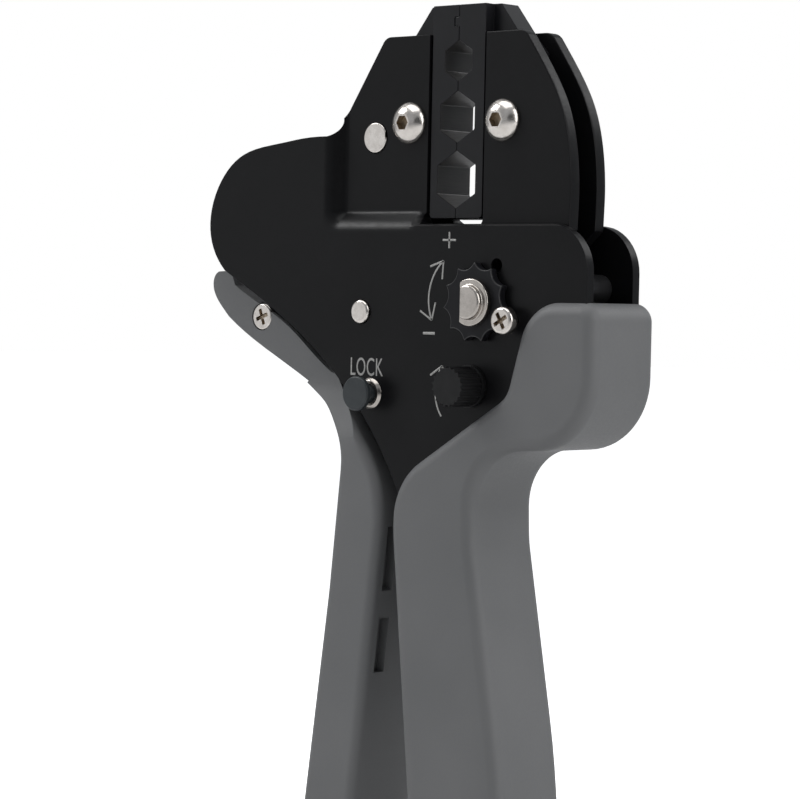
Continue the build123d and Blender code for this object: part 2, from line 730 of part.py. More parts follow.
with BuildPart() as lock_button:
    with BuildSketch(front_plane(lock_tip_half)):
        with Locations(lock_axis):
            Circle(lock_stem_radius)
    extrude(amount=frame_outer_half + lock_stand - lock_tip_half)
    with BuildSketch(front_plane(frame_outer_half + lock_stand - lock_head_height)):
        with Locations(lock_axis):
            Circle(lock_head_radius)
    extrude(amount=lock_head_height)
    fillet(lock_button.edges().filter_by(GeomType.CIRCLE).group_by(Axis.Y)[0], radius=0.35)
lock_button.part.label = "lock_button"
export_step(lock_button.part, "parts/lock_button.step")

# Handle lever plates and ratchet sector


def lever_shape(grow=0.0):
    """Front view of a lever plate, added to the open sketch"""
    taper_bar(handle_pivot, 4.6 + grow, grip_screw_axis, 3.2 + grow)
    taper_bar(handle_pivot, 4.6 + grow, lever_knee, 2.8 + grow)
    taper_bar(lever_knee, 2.8 + grow, lever_neck, 2.7 + grow)
    taper_bar(lever_middle, 2.8 + grow, lever_neck, 2.7 + grow)
    taper_bar(lever_middle, 2.8 + grow, lever_end, 2.6 + grow)
    shelf_top = lock_shelf_z + grow
    shelf_bottom = lock_shelf_z - lock_shelf_height - grow
    Polygon((lever_knee[0], shelf_top), (lock_lug_x, shelf_top), (lock_lug_x, lock_lug_top_z),
            (lock_lug_x + lock_lug_width, lock_lug_top_z), (lock_lug_x + lock_lug_width, shelf_bottom),
            (lever_knee[0], shelf_bottom), align=None)
    with Locations(link_handle_pin):
        Circle(link_eye_radius)


def lever_plate(back_half):
    """Lever plate whose back face is this far in front of the mid-plane"""
    with BuildPart() as plate:
        with BuildSketch(front_plane(back_half)):
            lever_shape()
            with Locations(handle_pivot):
                Circle(handle_pin_radius + running_clearance, mode=Mode.SUBTRACT)
            with Locations(link_handle_pin):
                Circle(link_pin_radius + running_clearance, mode=Mode.SUBTRACT)
            with Locations(grip_screw_axis, *sector_rivet_axes):
                Circle(small_screw_radius + running_clearance, mode=Mode.SUBTRACT)
        extrude(amount=lever_plate_thickness)
    return plate.part


lever_plate_front = lever_plate(lever_inner_half)
lever_plate_rear = lever_plate(-lever_outer_half)
lever_plate_front.label = "lever_plate_front"
export_step(lever_plate_front, "parts/lever_plate_front.step")
lever_plate_rear.label = "lever_plate_rear"
export_step(lever_plate_rear, "parts/lever_plate_rear.step")

def sector_shape(grow=0.0):
    """Front view of the ratchet sector before its teeth are cut, as a sketch"""
    middle_angle = (ratchet_start_angle + sector_root_angle) / 2
    angles = [ratchet_start_angle, middle_angle, sector_root_angle]
    inner = [toward(handle_pivot, ratchet_tooth_radius - grow, angle) for angle in angles]
    outer = [toward(handle_pivot, ratchet_outer_radius + grow, angle) for angle in angles]
    with BuildSketch() as shape:
        with BuildLine():
            Line(inner[0], outer[0])
            ThreePointArc(*outer)
            Line(outer[2], inner[2])
            ThreePointArc(*inner[::-1])
        make_face()
        stadium(sector_rivet_axes[0], sector_rivet_axes[1], sector_tab_radius + grow)
    return shape.sketch


with BuildPart() as ratchet_sector:
    with BuildSketch(front_plane(-ratchet_half)):
        add(sector_shape())
        inner = ratchet_tooth_radius
        gap = ratchet_pitch_angle * 0.45
        for tooth in range(ratchet_teeth):
            angle = ratchet_start_angle - (tooth + 0.5) * ratchet_pitch_angle
            Polygon(toward(handle_pivot, inner - 0.5, angle - gap),
                    toward(handle_pivot, inner - 0.5, angle + gap),
                    toward(handle_pivot, inner + ratchet_tooth_height, angle + gap),
                    align=None, mode=Mode.SUBTRACT)
        with Locations(*sector_rivet_axes):
            Circle(small_screw_radius + running_clearance, mode=Mode.SUBTRACT)
    extrude(amount=2 * ratchet_half)
ratchet_sector.part.label = "ratchet_sector"
export_step(ratchet_sector.part, "parts/ratchet_sector.step")

with BuildPart() as sector_rivets:
    for axis in sector_rivet_axes:
        add(plain_pin(axis, small_screw_radius, lever_outer_half))
sector_rivets.part.label = "sector_rivets"
export_step(sector_rivets.part, "parts/sector_rivets.step")

# Moving handle grip

with BuildPart() as moving_arm:
    with BuildSketch(front_plane(-arm_half)):
        with BuildLine():
            Line(arm_top[0], arm_top[1])
            Spline(arm_top[1], (-62.9, -30.4), (-63.1, -32.2), (-62.2, -34.3), (-58.6, -38.1))
            Spline((-58.6, -38.1), (-52.0, -42.2), (-44.1, -46.2), (-36.2, -50.2), (-29.2, -54.2))
            Line((-29.2, -54.2), (-24.4, -57.8))
            Line((-24.4, -57.8), (-22.3, -57.4))
            Line((-22.3, -57.4), (-28.3, -49.4))
            Spline((-28.3, -49.4), (-37.6, -43.0), (-41.6, -40.0), (-49.0, -36.0), (-57.0, -31.9))
            Line((-57.0, -31.9), arm_top[0])
        make_face()
    extrude(amount=2 * arm_half)

# Side view of the moving grip, which widens from the arm down to the palm
with BuildSketch() as moving_body_side:
    Polygon((-arm_half, arm_end_z + 1), (-arm_half, arm_end_z - 2), (-moving_grip_half, body_start_z),
            (-moving_grip_half, grip_bottom_z), (moving_grip_half, grip_bottom_z),
            (moving_grip_half, body_start_z), (arm_half, arm_end_z - 2), (arm_half, arm_end_z + 1),
            align=None)
    for side in (-1, 1):
        for corner in ((side * arm_half, arm_end_z - 2), (side * moving_grip_half, body_start_z)):
            fillet(moving_body_side.vertices().sort_by_distance(corner)[0], radius=blend_radius)

with BuildPart() as moving_body:
    with BuildSketch(front_plane(-moving_grip_half)):
        add(rounded_outline([(-36.4, -50.5, 0), (-24.0, -57.6, 14), (-27.2, -90.0, 150),
                             (-42.6, grip_bottom_z, 4), (-27.5, grip_bottom_z, 4), (-12.9, -69.0, 22),
                             (-28.9, -48.6, 0), (-33.8, -47.4, 0)]))
    extrude(amount=2 * moving_grip_half)
    fillet(moving_body.faces().filter_by(Axis.Y).edges(), radius=moving_grip_edge_radius)
    with BuildSketch(Plane.YZ.offset(-60)):
        add(moving_body_side.sketch)
    extrude(amount=60, mode=Mode.INTERSECT)

with BuildPart() as moving_grip:
    add(moving_body.part)
    add(moving_arm.part)
    with BuildSketch(front_plane(-lever_outer_half - seat_clearance)):
        lever_shape(seat_clearance)
    extrude(amount=2 * lever_outer_half + 2 * seat_clearance, mode=Mode.SUBTRACT)
    with BuildSketch(front_plane(-ratchet_half - seat_clearance)):
        add(sector_shape(seat_clearance))
    extrude(amount=2 * ratchet_half + 2 * seat_clearance, mode=Mode.SUBTRACT)
    with BuildSketch(front_plane(-arm_half)):
        with Locations(grip_screw_axis):
            Circle(small_screw_radius + seat_clearance)
    extrude(amount=2 * arm_half, mode=Mode.SUBTRACT)
    with BuildSketch(front_plane(arm_half)):
        with Locations(grip_screw_axis):
            Circle(grip_screw_head_radius + seat_clearance)
    extrude(amount=-grip_screw_head_height, mode=Mode.SUBTRACT)
    with BuildSketch(front_plane(-slot_outer_half)):
        Polygon((-16.5, -77.0), (-12.0, -77.0), (-12.0, -91.0), (-16.5, -88.5), align=None)
        Polygon((-17.6, -94.5), (-12.0, -94.5), (-12.0, -105.0), (-18.6, -105.0), align=None)
    extrude(amount=slot_outer_half - slot_inner_half, mode=Mode.SUBTRACT)
    with BuildSketch(front_plane(slot_inner_half)):
        Polygon((-16.5, -77.0), (-12.0, -77.0), (-12.0, -91.0), (-16.5, -88.5), align=None)
        Polygon((-17.6, -94.5), (-12.0, -94.5), (-12.0, -105.0), (-18.6, -105.0), align=None)
    extrude(amount=slot_outer_half - slot_inner_half, mode=Mode.SUBTRACT)
moving_grip.part.label = "moving_grip"
export_step(moving_grip.part, "parts/moving_grip.step")

with BuildPart() as grip_screw:
    with BuildSketch(front_plane(-arm_half + 0.2)):
        with Locations(grip_screw_axis):
            Circle(small_screw_radius)
    extrude(amount=2 * arm_half - 0.2 - grip_screw_head_height)
    with BuildSketch(front_plane(arm_half - grip_screw_head_height)):
        with Locations(grip_screw_axis):
            Circle(grip_screw_head_radius)
    extrude(amount=grip_screw_head_height)
    fillet(grip_screw.edges().filter_by(GeomType.CIRCLE).group_by(Axis.Y)[0], radius=0.4)
    with BuildSketch(front_plane(arm_half)):
        with Locations(Location((grip_screw_axis[0], grip_screw_axis[1], 0), (0, 0, 20))):
            Rectangle(cross_slot_length, cross_slot_width)
            Rectangle(cross_slot_width, cross_slot_length)
    extrude(amount=-0.8, mode=Mode.SUBTRACT)
grip_screw.part.label = "grip_screw"
export_step(grip_screw.part, "parts/grip_screw.step")

# Fixed handle grip

with BuildPart() as fixed_grip:
    with BuildSketch(front_plane(-fixed_grip_half)):
        add(rounded_outline([(fixed_grip_right_x, fixed_grip_top, 3.5), (fixed_grip_right_x, -60.1, 13.5),
                             (8.6, -61.7, 11), (9.2, -78.6, 25), (16.4, -118.0, 150),
                             (24.9, grip_bottom_z, 4), (2.2, grip_bottom_z, 4), (-10.9, -78.0, 20),
                             (-10.9, -68.0, 13), (16.2, -51.2, 5.5), (21.1, fixed_grip_top, 9)]))
    extrude(amount=2 * fixed_grip_half)
    fillet(fixed_grip.faces().filter_by(Axis.Y).edges(), radius=fixed_grip_edge_radius)
    with BuildSketch(front_plane(-frame_outer_half - seat_clearance)):
        add(frame_outline(seat_clearance))
    extrude(amount=2 * frame_outer_half + 2 * seat_clearance, mode=Mode.SUBTRACT)
fixed_grip.part.label = "fixed_grip"
export_step(fixed_grip.part, "parts/fixed_grip.step")
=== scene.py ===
import json
import math

import bmesh
import bpy
from mathutils import Matrix, Vector


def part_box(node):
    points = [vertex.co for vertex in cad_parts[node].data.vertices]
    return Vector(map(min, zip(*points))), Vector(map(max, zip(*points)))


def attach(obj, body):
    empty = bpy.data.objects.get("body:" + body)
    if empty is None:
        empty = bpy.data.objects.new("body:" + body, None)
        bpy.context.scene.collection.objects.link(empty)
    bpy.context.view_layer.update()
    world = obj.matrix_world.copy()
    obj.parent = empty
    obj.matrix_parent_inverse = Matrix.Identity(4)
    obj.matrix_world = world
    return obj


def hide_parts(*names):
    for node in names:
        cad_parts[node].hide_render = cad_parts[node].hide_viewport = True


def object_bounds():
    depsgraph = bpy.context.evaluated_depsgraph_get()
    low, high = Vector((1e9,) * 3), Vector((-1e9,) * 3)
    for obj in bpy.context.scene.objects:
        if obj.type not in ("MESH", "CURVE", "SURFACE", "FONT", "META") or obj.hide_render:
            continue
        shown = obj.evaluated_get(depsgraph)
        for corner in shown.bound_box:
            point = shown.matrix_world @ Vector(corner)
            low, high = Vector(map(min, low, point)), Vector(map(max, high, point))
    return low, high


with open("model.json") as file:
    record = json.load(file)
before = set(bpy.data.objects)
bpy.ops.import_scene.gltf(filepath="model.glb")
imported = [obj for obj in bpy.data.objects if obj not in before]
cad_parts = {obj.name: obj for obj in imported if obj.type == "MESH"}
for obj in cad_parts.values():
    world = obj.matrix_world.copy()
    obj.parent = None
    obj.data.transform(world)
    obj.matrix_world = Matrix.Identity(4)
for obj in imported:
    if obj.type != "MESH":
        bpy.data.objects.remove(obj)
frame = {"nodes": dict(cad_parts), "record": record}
cad_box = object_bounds()
MM = 0.001

# Places on the tool in millimetres, with axes as X and Z of the front view
plate_face_y = -7.65
lock_axis = (-17.8, -51.9)
spy_hole_axis = (12.8, -27.5)
spy_hole_radius = 1.3
spy_hole_from_y, spy_hole_to_y = -12, -2
# Low and high corner of the nick in the spacer rivet's end
rivet_nick = ((-17.4, -14.0, -3.5), (-16.9, -4.0, -2.2))
# Width across flats and height of each crimp cavity
die_cavities = ((6.48, 10.4), (8.23, 0.0), (9.14, -11.6))
# Screw, its axis, and the reach and depth of its driver recess
driver_recesses = (
    ("die_screw_fixed", (-11.4, -0.95), 1.5, 1.6), ("die_screw_moving", (11.4, -0.95), 1.5, 1.6),
    ("wheel_lock_screw", (17.1, -37.5), 1.7, 1.0), ("grip_screw", (-49.4, -38.0), 1.7, 1.0),
)
# Pressed-in jaw of the solid frame plates: foot of its slopes as X and Z, their run, and the outer half width
solid_fold_foot = (-26.8, -18.8)
solid_fold_run = 1.5
joggle_depth = 2.6
pressed_jaw_half = 5.05
# Soft bends of that jaw: foot of the slope, its run, and half the length of the bend at its foot and its top
soft_left_slope = (-27.4, 2.2, 0.6, 1.6)
soft_low_slope = (-17.6, 2.7, 0.35, 1.3)
# Axis, first and last place, and number of the cuts that give the bends their points
bend_cuts = ((0, -31.2, -26.6, 13), (2, -21.7, -17.1, 15), (0, -9.0, -7.0, 3))
# The soft bend turns back into the solid's fold on the way to the die slot
slot_left_x = -7.0
slot_fade = 2.0
# Points of the outer face follow the soft bend down to this depth
outer_skin = 0.4
# Edges sharper than the crease are rounded, and faces that are flatter than the flat angle are merged
crease_angle = math.radians(30)
flat_angle = math.radians(0.5)
# Least front or back share of the normals on both sides of a fold line
fold_facing = 0.3

# Camera
camera_place = (353.26, -411.23, -34.09)
camera_azimuth = 42.0
camera_pitch = 1.97
camera_roll = -1.2
picture_width_px = 800
focal_length_px = 2900
sensor_width = 36.0


def place_camera():
    azimuth, pitch, roll = (math.radians(a) for a in (camera_azimuth, camera_pitch, camera_roll))
    forward = Vector((-math.sin(azimuth) * math.cos(pitch), math.cos(azimuth) * math.cos(pitch),
                      -math.sin(pitch)))
    level = Vector((math.cos(azimuth), math.sin(azimuth), 0))
    upright = level.cross(forward)
    right = math.cos(roll) * level - math.sin(roll) * upright
    up = math.sin(roll) * level + math.cos(roll) * upright
    data = bpy.data.cameras.new("photo_camera")
    data.sensor_width = sensor_width
    data.lens = sensor_width * focal_length_px / picture_width_px
    data.clip_start = 0.01
    data.clip_end = 20
    camera = bpy.data.objects.new("photo_camera", data)
    turn = Matrix((right, up, -forward)).transposed().to_4x4()
    camera.matrix_world = Matrix.Translation(Vector(camera_place) * MM) @ turn
    bpy.context.scene.collection.objects.link(camera)
    bpy.context.scene.camera = camera


# Small builders for node trees


def add_node(tree, kind, inputs=None, **settings):
    """Adds a node, sets its own settings and the values or links of its inputs"""
    made = tree.nodes.new(kind)
    for name, value in settings.items():
        setattr(made, name, value)
    for key, value in (inputs or {}).items():
        socket = made.inputs[key]
        if isinstance(value, bpy.types.NodeSocket):
            tree.links.new(value, socket)
        else:
            socket.default_value = value
    return made


def finish_base(name):
    """New material with its shader and its object coordinates"""
    material = bpy.data.materials.new(name)
    material.use_nodes = True
    tree = material.node_tree
    shader = tree.nodes["Principled BSDF"]
    place = tree.nodes.new("ShaderNodeTexCoord").outputs["Object"]
    return material, tree, shader, place


def grain(tree, place, scale, detail=3.0):
    """Noise of a given scale, in cells to the metre"""
    return add_node(tree, "ShaderNodeTexNoise",
                    {"Vector": place, "Scale": scale, "Detail": detail, "Roughness": 0.55}).outputs["Fac"]


def stretched_grain(tree, place, scales):
    """Noise drawn out into lines along the axis with the smallest scale"""
    stretched = add_node(tree, "ShaderNodeMapping", {"Vector": place, "Scale": scales})
    return grain(tree, stretched.outputs["Vector"], 1.0, detail=2.0)


def spread(tree, value, low, high):
    """Maps a noise, which mostly lies from 0.3 to 0.7, onto a range"""
    return add_node(tree, "ShaderNodeMapRange",
                    {"Value": value, "From Min": 0.3, "From Max": 0.7, "To Min": low, "To Max": high}
                    ).outputs["Result"]


def paint(tree, shader, noise, dark, light):
    """Base colour between two ends"""
    mixed = add_node(tree, "ShaderNodeMix", {"Factor": spread(tree, noise, 0, 1)}, data_type="RGBA")
    mixed.inputs["A"].default_value = (*dark, 1)
    mixed.inputs["B"].default_value = (*light, 1)
    tree.links.new(mixed.outputs["Result"], shader.inputs["Base Color"])


def polish(tree, shader, noise, low, high):
    """Roughness between two ends"""
    tree.links.new(spread(tree, noise, low, high), shader.inputs["Roughness"])


def relief(tree, shader, noise, strength, depth):
    """Fine bumps, with their depth in metres"""
    bump = add_node(tree, "ShaderNodeBump", {"Height": noise, "Strength": strength, "Distance": depth})
    tree.links.new(bump.outputs["Normal"], shader.inputs["Normal"])


# Finishes


def satin_black_coating():
    """Electro-coated steel plate, nearly even, with a fine orange peel"""
    material, tree, shader, place = finish_base("satin_black_coating")
    paint(tree, shader, grain(tree, place, 60), dark=(0.0038, 0.0038, 0.0043), light=(0.0052, 0.0052, 0.0058))
    polish(tree, shader, grain(tree, place, 900), low=0.31, high=0.38)
    shader.inputs["Specular IOR Level"].default_value = 0.15
    relief(tree, shader, grain(tree, place, 2600, detail=2.0), strength=0.10, depth=0.00004)
    return material


def black_oxide():
    """Hardened die steel with fine grinding lines along its length"""
    material, tree, shader, place = finish_base("black_oxide")
    lines = stretched_grain(tree, place, (9000, 9000, 260))
    paint(tree, shader, grain(tree, place, 120), dark=(0.005, 0.005, 0.006), light=(0.008, 0.008, 0.0095))
    polish(tree, shader, lines, low=0.30, high=0.42)
    shader.inputs["Specular IOR Level"].default_value = 0.24
    relief(tree, shader, lines, strength=0.10, depth=0.00002)
    return material


def ground_cavity():
    """Walls of the hex cavities, ground after hardening and a little brighter than the die"""
    material, tree, shader, place = finish_base("ground_cavity")
    lines = stretched_grain(tree, place, (6000, 300, 6000))
    paint(tree, shader, lines, dark=(0.017, 0.016, 0.016), light=(0.028, 0.027, 0.026))
    polish(tree, shader, lines, low=0.30, high=0.44)
    relief(tree, shader, lines, strength=0.10, depth=0.00001)
    return material


def bright_nickel(name, dark, light):
    """Plated fasteners, warm and slightly worn"""
    material, tree, shader, place = finish_base(name)
    paint(tree, shader, grain(tree, place, 700), dark, light)
    polish(tree, shader, grain(tree, place, 2500), low=0.17, high=0.27)
    shader.inputs["Metallic"].default_value = 1.0
    relief(tree, shader, grain(tree, place, 5000), strength=0.06, depth=0.00001)
    return material


def recess_painted_shade():
    """Painted shade inside the screw recesses: a darker, browner nickel that stands in for the shadow in the
    hollow
    """
    material, tree, shader, place = finish_base("recess_painted_shade")
    cloud = grain(tree, place, 1500)
    paint(tree, shader, cloud, dark=(0.30, 0.25, 0.19), light=(0.46, 0.39, 0.31))
    polish(tree, shader, cloud, low=0.34, high=0.48)
    shader.inputs["Metallic"].default_value = 1.0
    relief(tree, shader, cloud, strength=0.1, depth=0.00001)
    return material


def oiled_steel(name, dark, light, metallic):
    """Inner steel under a film of oil: dark for levers and pins, brighter for spring wire"""
    material, tree, shader, place = finish_base(name)
    paint(tree, shader, grain(tree, place, 300), dark, light)
    polish(tree, shader, grain(tree, place, 2500), low=0.28, high=0.42)
    shader.inputs["Metallic"].default_value = metallic
    relief(tree, shader, grain(tree, place, 3500), strength=0.06, depth=0.00001)
    return material


def grey_grip_plastic():
    """Moulded grip with a fine spark-eroded texture and faint flow clouds"""
    material, tree, shader, place = finish_base("grey_grip_plastic")
    cloud = grain(tree, place, 45, detail=2.0)
    speckle = grain(tree, place, 2200, detail=2.0)
    paint(tree, shader, cloud, dark=(0.115, 0.117, 0.119), light=(0.129, 0.130, 0.132))
    polish(tree, shader, speckle, low=0.47, high=0.60)
    shader.inputs["Specular IOR Level"].default_value = 0.4
    relief(tree, shader, speckle, strength=0.16, depth=0.00005)
    return material


def dark_moulding(name, dark, light, specular):
    """Black or slate plastic of the knob, the wheel and the button"""
    material, tree, shader, place = finish_base(name)
    paint(tree, shader, grain(tree, place, 400), dark, light)
    polish(tree, shader, grain(tree, place, 2600), low=0.32, high=0.42)
    shader.inputs["Specular IOR Level"].default_value = specular
    relief(tree, shader, grain(tree, place, 3000), strength=0.12, depth=0.00003)
    return material


def printed_grey():
    """Pad-printed marks, a light grey ink with slightly uneven cover"""
    material, tree, shader, place = finish_base("printed_grey")
    cover = grain(tree, place, 3500, detail=2.0)
    paint(tree, shader, cover, dark=(0.26, 0.256, 0.248), light=(0.37, 0.365, 0.352))
    polish(tree, shader, cover, low=0.5, high=0.62)
    relief(tree, shader, cover, strength=0.1, depth=0.00001)
    return material


finishes = {
    "plate": satin_black_coating(),
    "die": black_oxide(),
    "cavity": ground_cavity(),
    "nickel": bright_nickel("bright_nickel", (0.62, 0.58, 0.54), (0.75, 0.71, 0.67)),
    "pin": bright_nickel("ground_nickel", (0.42, 0.39, 0.36), (0.52, 0.485, 0.45)),
    # the recess finish is painted shade for the insides of the screw recesses
    "recess": recess_painted_shade(),
    "oiled": oiled_steel("oiled_steel", (0.040, 0.040, 0.042), (0.070, 0.070, 0.074), 0.8),
    "wire": oiled_steel("spring_wire", (0.10, 0.10, 0.10), (0.20, 0.20, 0.20), 0.9),
    "grip": grey_grip_plastic(),
    "knob": dark_moulding("knob_black", (0.006, 0.006, 0.0065), (0.010, 0.010, 0.0105), 0.21),
    "wheel": dark_moulding("wheel_black", (0.006, 0.006, 0.0075), (0.010, 0.010, 0.012), 0.17),
    "worn_rim": dark_moulding("worn_rim", (0.009, 0.009, 0.010), (0.014, 0.014, 0.015), 0.6),
    "button": dark_moulding("button_slate", (0.027, 0.032, 0.035), (0.036, 0.041, 0.044), 0.3),
    "print": printed_grey(),
}

# Pieces made from the frame's own solids


def body_of_node(node):
    for body, members in frame["record"]["behaviour"]["bodies"].items():
        if node in members:
            return body
    raise ValueError(node)


def new_piece(name, mesh, finish):
    piece = bpy.data.objects.new(name, mesh)
    bpy.context.scene.collection.objects.link(piece)
    mesh.materials.clear()
    mesh.materials.append(finishes[finish])
    return piece


def baked(piece):
    """Turns a piece with live modifiers into a plain mesh"""
    bpy.context.view_layer.update()
    shown = piece.evaluated_get(bpy.context.evaluated_depsgraph_get())
    mesh = bpy.data.meshes.new_from_object(shown)
    piece.modifiers.clear()
    piece.data = mesh


def loose_cutter(work, name):
    mesh = bpy.data.meshes.new(name)
    work.to_mesh(mesh)
    work.free()
    cutter = bpy.data.objects.new(name, mesh)
    bpy.context.scene.collection.objects.link(cutter)
    return cutter


def drill(axis, radius, near_y, far_y):
    """Loose round bar along Y, to cut a hole with"""
    work = bmesh.new()
    bmesh.ops.create_cone(work, cap_ends=True, segments=32, radius1=radius * MM, radius2=radius * MM,
                          depth=(far_y - near_y) * MM)
    middle = Vector((axis[0], (near_y + far_y) / 2, axis[1])) * MM
    upright = Matrix.Rotation(math.radians(90), 4, "X")
    bmesh.ops.transform(work, verts=work.verts, matrix=Matrix.Translation(middle) @ upright)
    return loose_cutter(work, "drill")


def small_block(low, high):
    """Loose block between two corners, to cut a nick with"""
    work = bmesh.new()
    bmesh.ops.create_cube(work, size=1)
    for vertex in work.verts:
        for i in range(3):
            vertex.co[i] = (high[i] if vertex.co[i] > 0 else low[i]) * MM
    return loose_cutter(work, "block")


def solid_copy(node, finish, weld=0.002):
    """Copy of a solid, with points closer than the weld joined and flat triangles merged into whole faces"""
    mesh = frame["nodes"][node].data.copy()
    mesh.name = node + "_eased"
    for layer in ("custom_normal", "sharp_edge", "sharp_face"):
        if mesh.attributes.get(layer):
            mesh.attributes.remove(mesh.attributes[layer])
    work = bmesh.new()
    work.from_mesh(mesh)
    bmesh.ops.remove_doubles(work, verts=work.verts, dist=weld * MM)
    bmesh.ops.dissolve_limit(work, angle_limit=flat_angle, verts=work.verts, edges=work.edges)
    work.to_mesh(mesh)
    work.free()
    mesh.shade_smooth()
    return new_piece(node + "_eased", mesh, finish)


def cut_away(piece, cutter):
    cut = piece.modifiers.new("cut", "BOOLEAN")
    cut.operation = "DIFFERENCE"
    cut.solver = "EXACT"
    cut.object = cutter
    baked(piece)
    bpy.data.objects.remove(cutter)


def ease_edges(piece, width, segments, keep_folds=False, held_back=True):
    """Rounds every sharp edge, but not the fold lines, where both faces look front or back

    Held back, the width shrinks everywhere to what the shortest edge allows.
    """
    work = bmesh.new()
    work.from_mesh(piece.data)
    work.normal_update()
    weight = work.edges.layers.float.new("bevel_weight_edge")
    for edge in work.edges:
        folded = keep_folds and all(abs(face.normal.y) > fold_facing for face in edge.link_faces)
        if edge.calc_face_angle(0) > crease_angle and not folded:
            edge[weight] = 1.0
    work.to_mesh(piece.data)
    work.free()
    bevel = piece.modifiers.new("ease", "BEVEL")
    bevel.width = width * MM
    bevel.segments = segments
    bevel.limit_method = "WEIGHT"
    bevel.use_clamp_overlap = held_back
    bevel.miter_outer = "MITER_ARC"
    baked(piece)


def settle_normals(piece):
    """Keeps flat faces flat beside rounded edges"""
    piece.data.set_sharp_from_angle(angle=crease_angle)
    level = piece.modifiers.new("level", "WEIGHTED_NORMAL")
    level.keep_sharp = True
    baked(piece)


def seat(piece, node):
    """Puts a piece in the place of the solid that it was copied from"""
    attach(piece, body_of_node(node))
    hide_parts(node)
    return piece


def eased_copy(node, finish, width, segments=2, cutter=None, weld=0.002, held_back=True):
    piece = solid_copy(node, finish, weld)
    if cutter:
        cut_away(piece, cutter)
    if width:
        ease_edges(piece, width, segments, held_back=held_back)
    settle_normals(piece)
    return seat(piece, node)


def soft_rise(place, slope):
    """Height from 0 to 1 across a pressed slope, with a bend of its own length at the foot and at the top"""
    foot, run, inner, outer = slope
    way = foot - place
    if way < -inner:
        return 0.0
    if way < inner:
        return (way + inner) ** 2 / (4 * inner * run)
    if way < run - outer:
        return way / run
    if way < run + outer:
        return 1.0 - (run + outer - way) ** 2 / (4 * outer * run)
    return 1.0


def soften_joggle(piece, side):
    """Turns the sharp folds round the pressed-in jaw into the soft bends of sheet metal, on the outer face"""
    work = bmesh.new()
    work.from_mesh(piece.data)
    for axis, start, end, count in bend_cuts:
        for i in range(count):
            place, normal = Vector((0, 0, 0)), Vector((0, 0, 0))
            place[axis] = (start + (end - start) * i / (count - 1)) * MM
            normal[axis] = 1
            whole = work.verts[:] + work.edges[:] + work.faces[:]
            bmesh.ops.bisect_plane(work, geom=whole, dist=0.00001, plane_co=place, plane_no=normal)
    for vertex in work.verts:
        x, z = vertex.co.x / MM, vertex.co.z / MM
        fold = max(solid_fold_foot[0] - x, solid_fold_foot[1] - z) / solid_fold_run
        solid_height = joggle_depth * min(max(fold, 0), 1)
        left = soft_rise(x, soft_left_slope)
        below = soft_rise(z, soft_low_slope)
        soft_height = joggle_depth * (1 - (1 - left) * (1 - below))
        beside_slot = min(max((slot_left_x - x) / slot_fade, 0), 1)
        outward = side * vertex.co.y / MM
        if outward > pressed_jaw_half + solid_height - outer_skin:
            vertex.co.y = side * (outward + beside_slot * (soft_height - solid_height)) * MM
    work.to_mesh(piece.data)
    work.free()


def frame_plate(node, side, cutter=None):
    piece = solid_copy(node, "plate")
    if cutter:
        cut_away(piece, cutter)
    ease_edges(piece, width=0.28, segments=2, keep_folds=True)
    soften_joggle(piece, side)
    settle_normals(piece)
    seat(piece, node)


def sloped_collar():
    """Collar of the lock button, whose front slopes back towards its rim"""
    front_corner_from, front_corner_to = 2.6, 2.85
    sloped_front_radius = 2.45
    rim_front_y = plate_face_y - 0.1
    piece = solid_copy("lock_collar", "pin")
    for vertex in piece.data.vertices:
        aside = Vector((vertex.co.x / MM - lock_axis[0], vertex.co.z / MM - lock_axis[1]))
        if front_corner_from < aside.length < front_corner_to:
            aside *= sloped_front_radius / aside.length
            vertex.co.x = (lock_axis[0] + aside.x) * MM
            vertex.co.z = (lock_axis[1] + aside.y) * MM
        elif aside.length > front_corner_to and vertex.co.y / MM < rim_front_y:
            vertex.co.y = rim_front_y * MM
    ease_edges(piece, width=0.06, segments=2)
    settle_normals(piece)
    seat(piece, "lock_collar")


def second_finish(piece, finish, chosen):
    """Gives another finish to the faces that a test of their middle, in millimetres, and normal picks"""
    mesh = piece.data
    mesh.materials.append(finishes[finish])
    for face in mesh.polygons:
        if chosen(face.center / MM, face.normal):
            face.material_index = 1


def wear_rims(piece, width):
    """Gives the narrow faces of rounded front and back rims the paler finish of a worn coating"""
    mesh = piece.data
    mesh.materials.append(finishes["worn_rim"])
    for face in mesh.polygons:
        longest = max((mesh.vertices[a].co - mesh.vertices[b].co).length for a, b in face.edge_keys)
        tilted = 0.2 < abs(face.normal.y) < 0.97
        narrow = face.area < longest * width * MM
        if tilted and narrow:
            face.material_index = 1


def within(place, axis, reach):
    return math.dist((place.x, place.z), axis) < reach


def dress_plates():
    spy_hole = drill(spy_hole_axis, spy_hole_radius, spy_hole_from_y, spy_hole_to_y)
    frame_plate("frame_plate_front", side=-1, cutter=spy_hole)
    frame_plate("frame_plate_rear", side=1)
    for node in ("jaw_plate_front", "jaw_plate_rear"):
        eased_copy(node, "plate", width=0.35, weld=0.02)


def on_cavity_wall(place, normal):
    """True on the walls along Y round a crimp cavity, whose corners reach its size over the root of three"""
    margin = 0.15
    along_y = abs(normal.y) < 0.4
    return along_y and any(
        within(place, (0.0, height), size / math.sqrt(3) + margin) for size, height in die_cavities)


def dress_dies():
    for node in ("fixed_die", "moving_die"):
        die = eased_copy(node, "die", width=0.14, weld=0.3)
        second_finish(die, "cavity", on_cavity_wall)


def dress_screws():
    """Heads with painted shade in their recesses: a hex socket in the die screws and a cross in the others"""
    lip, past_floor = 0.12, 0.1
    for node, axis, reach, depth in driver_recesses:
        screw = eased_copy(node, "nickel", width=0.07)
        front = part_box(node)[0][1] / MM
        # faces inside the recess, below its lip, get the painted shade finish
        second_finish(screw, "recess", lambda place, normal:
                      within(place, axis, reach) and front + lip < place.y < front + depth + past_floor)


